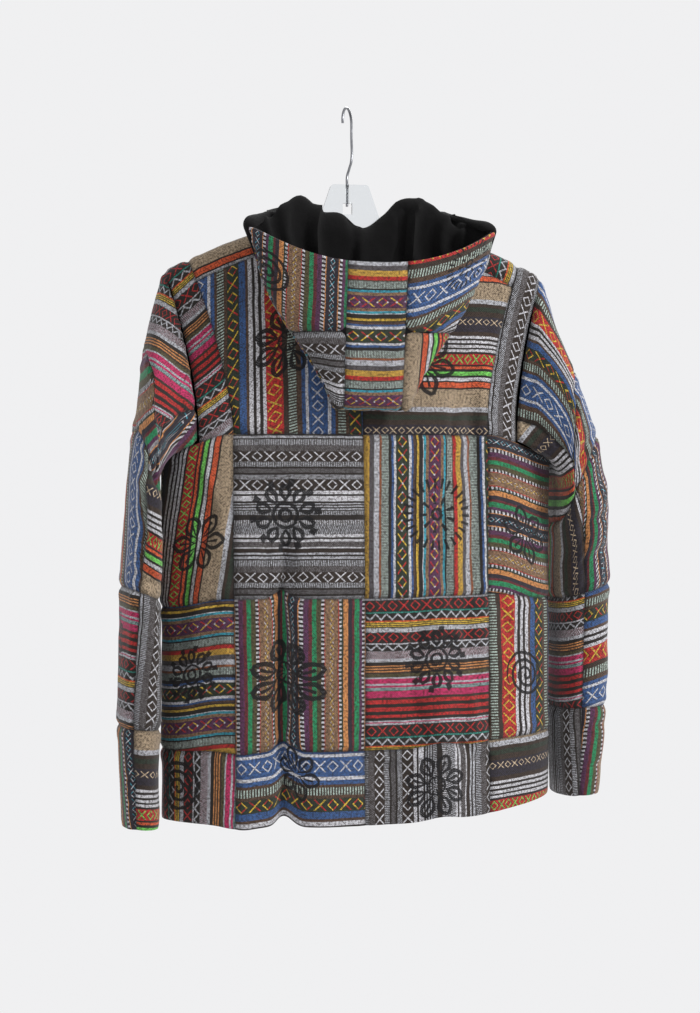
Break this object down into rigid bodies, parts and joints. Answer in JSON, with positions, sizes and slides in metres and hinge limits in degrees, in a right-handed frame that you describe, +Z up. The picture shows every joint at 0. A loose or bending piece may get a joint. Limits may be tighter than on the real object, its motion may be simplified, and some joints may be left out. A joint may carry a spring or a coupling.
{
  "type": "patchwork jacket",
  "caption": "Hooded zip-up patchwork jacket of woven striped cottons with block prints, lined with black fleece, hanging on a clear plastic hanger with a metal hook",
  "frame": {"origin": "the inside top of the hanger's hook, where a rail or a thread carries it", "axes": "+Z up, -Y out of the jacket's back, +X to the left side of the wearer's back as seen from behind, so to the right of the picture"},
  "size_m": [0.6168, 0.2322, 0.8772],
  "materials": {
    "cloth_mono": "heavy woven cotton in black, grey and white stripes with a small geometric band",
    "cloth_blue": "heavy woven cotton in blue, brown, green and white stripes with a small geometric band",
    "cloth_earth": "heavy woven cotton in tan, green, maroon and navy stripes with a small geometric band",
    "cloth_multi": "heavy woven cotton in mustard, grey, cyan and purple stripes with a small geometric band",
    "cloth_red": "heavy woven cotton in black, red, magenta and olive stripes with a small geometric band",
    "cloth_beige": "heavy woven cotton in beige, brown, orange and black stripes with a small geometric band",
    "fleece_black": "short matt polyester fleece, the lining",
    "zip_tape_black": "flat woven polyester zip tape",
    "clear_plastic": "clear moulded polystyrene, glossy, with rounded edges",
    "steel_bright": "bright plated steel"
  },
  "bodies": {
    "jacket": {"back_left_yoke": "cloth_blue", "back_right_yoke": "cloth_beige", "back_left_middle": "cloth_mono", "back_right_middle": "cloth_multi", "back_left_lower": "cloth_earth", "back_right_lower": "cloth_red", "back_left_hem": "cloth_blue", "back_right_hem": "cloth_mono", "left_side_middle": "cloth_beige", "left_side_lower": "cloth_multi", "left_side_hem": "cloth_red", "right_side_middle": "cloth_earth", "right_side_lower": "cloth_blue", "right_side_hem": "cloth_beige", "left_front_shoulder": "cloth_beige", "left_front_chest": "cloth_mono", "left_front_middle": "cloth_red", "left_front_lower": "cloth_blue", "left_front_hem": "cloth_earth", "right_front_shoulder": "cloth_red", "right_front_chest": "cloth_multi", "right_front_middle": "cloth_blue", "right_front_lower": "cloth_beige", "right_front_hem": "cloth_multi", "left_sleeve_strip": "cloth_red", "left_sleeve_upper_outer": "cloth_red", "left_sleeve_second_outer": "cloth_earth", "left_sleeve_upper_inner": "cloth_earth", "left_sleeve_elbow_outer": "cloth_blue", "left_sleeve_elbow_inner": "cloth_beige", "left_sleeve_forearm_outer": "cloth_red", "left_sleeve_forearm_inner": "cloth_mono", "left_sleeve_cuff_outer": "cloth_earth", "left_sleeve_cuff_inner": "cloth_beige", "right_sleeve_strip": "cloth_mono", "right_sleeve_upper_outer": "cloth_blue", "right_sleeve_second_outer": "cloth_blue", "right_sleeve_upper_inner": "cloth_beige", "right_sleeve_elbow_outer": "cloth_earth", "right_sleeve_elbow_inner": "cloth_beige", "right_sleeve_forearm_outer": "cloth_blue", "right_sleeve_forearm_inner": "cloth_red", "right_sleeve_cuff_outer": "cloth_earth", "right_sleeve_cuff_inner": "cloth_mono", "hood_centre_strip": "cloth_multi", "hood_left_upper": "cloth_earth", "hood_left_lower": "cloth_mono", "hood_right_upper": "cloth_blue", "hood_right_lower": "cloth_beige", "hood_neck_left": "cloth_multi", "hood_neck_right": "cloth_red", "hood_lining": "fleece_black", "left_zip_tape": "zip_tape_black", "right_zip_tape": "zip_tape_black", "zip_slider": "steel_bright", "hanger_body": "clear_plastic", "hanger_hook": "steel_bright"},
    "pull_tab": {"zip_pull_tab": "steel_bright"}
  },
  "joints": [
    {"name": "pull_tab_hinge", "type": "hinge", "parent": "jacket", "child": "pull_tab", "pos_m": [0.008, 0.0471, -0.2419], "axis": [1, 0, 0], "range_deg": [0, 150]}
  ]
}
